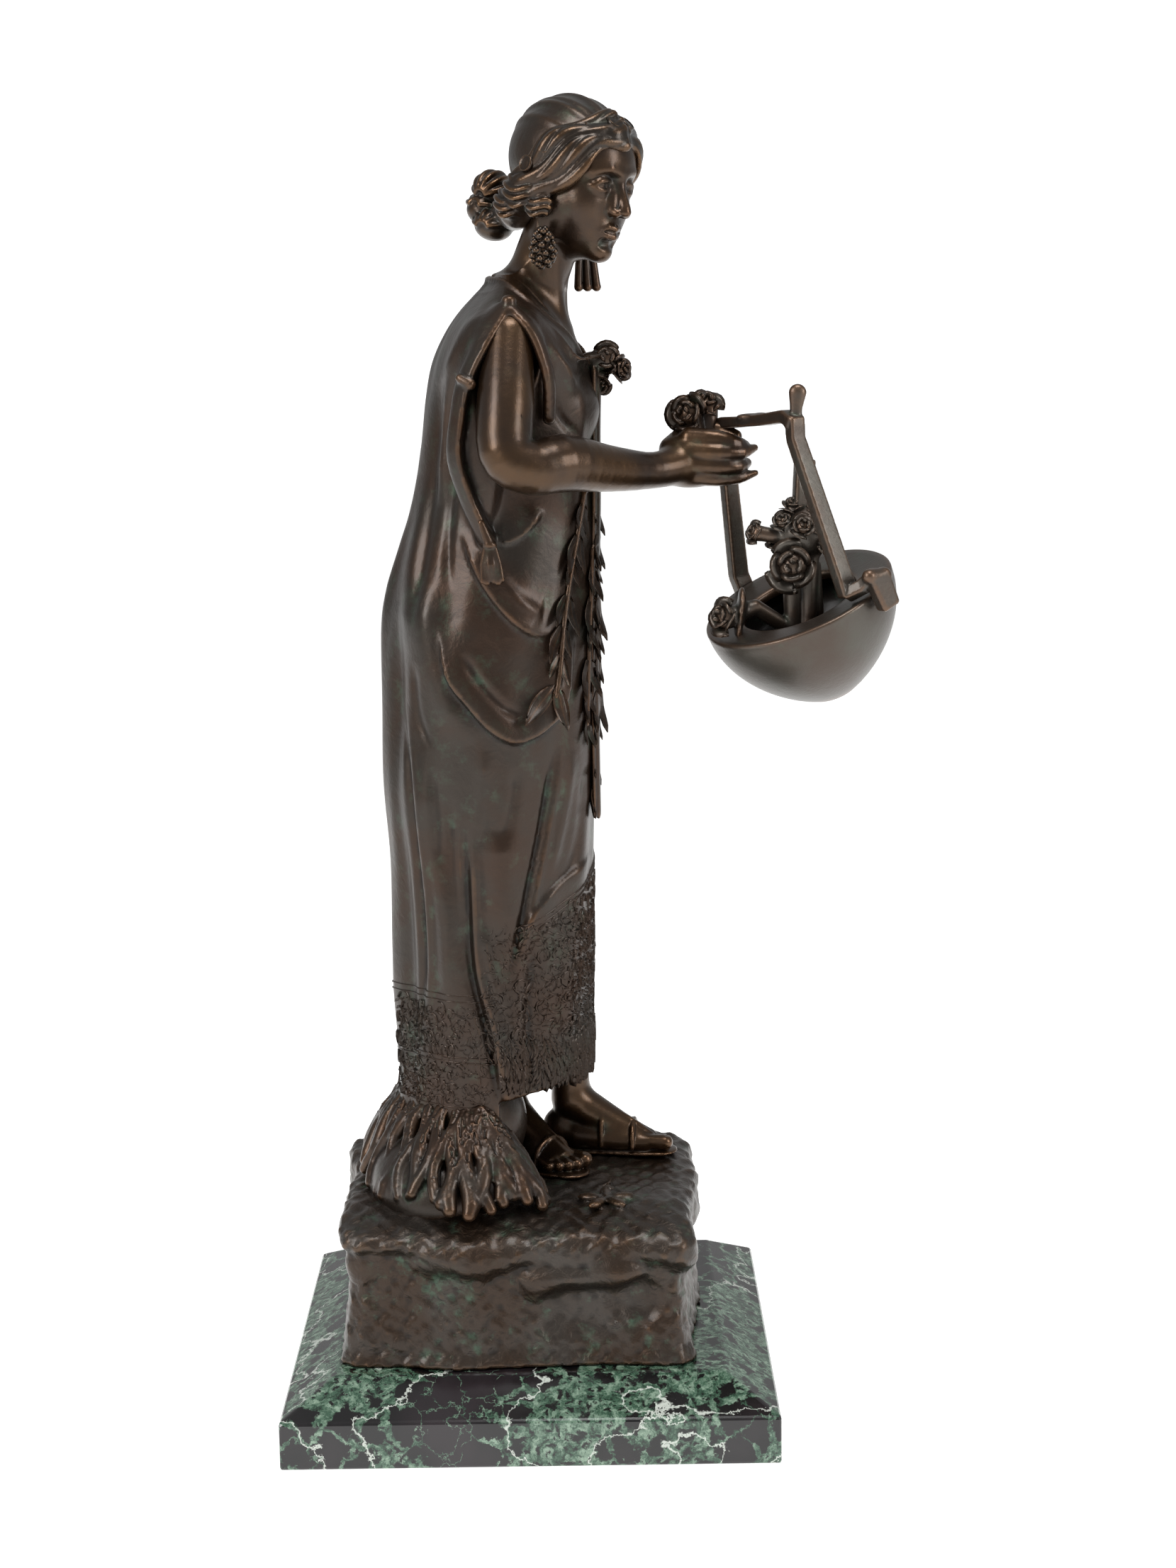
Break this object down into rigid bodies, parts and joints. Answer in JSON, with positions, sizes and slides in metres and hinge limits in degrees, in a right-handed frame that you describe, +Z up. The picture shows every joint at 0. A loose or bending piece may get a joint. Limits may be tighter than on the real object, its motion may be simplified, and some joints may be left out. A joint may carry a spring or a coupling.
{
  "type": "bronze statuette on a marble plinth",
  "caption": "Standing bronze woman in a long draped dress, carrying a flower basket by its bail, on a rock and a square marble plinth.",
  "frame": {"origin": "middle of the plinth's underside", "axes": "+Z up, +X the way the woman faces and holds out the basket, +Y to her left"},
  "size_m": [0.2141, 0.17, 0.4575],
  "materials": {
    "green_breccia_marble": "polished",
    "dark_patinated_bronze": "dark brown patina, waxed",
    "grey_green_bronze": "grey green patina, dull"
  },
  "bodies": {
    "root": {"marble_plinth": "green_breccia_marble", "bronze_figure": "dark_patinated_bronze", "flower_basket": "grey_green_bronze", "basket_handle": "grey_green_bronze", "basket_roses": "grey_green_bronze"}
  },
  "joints": []
}
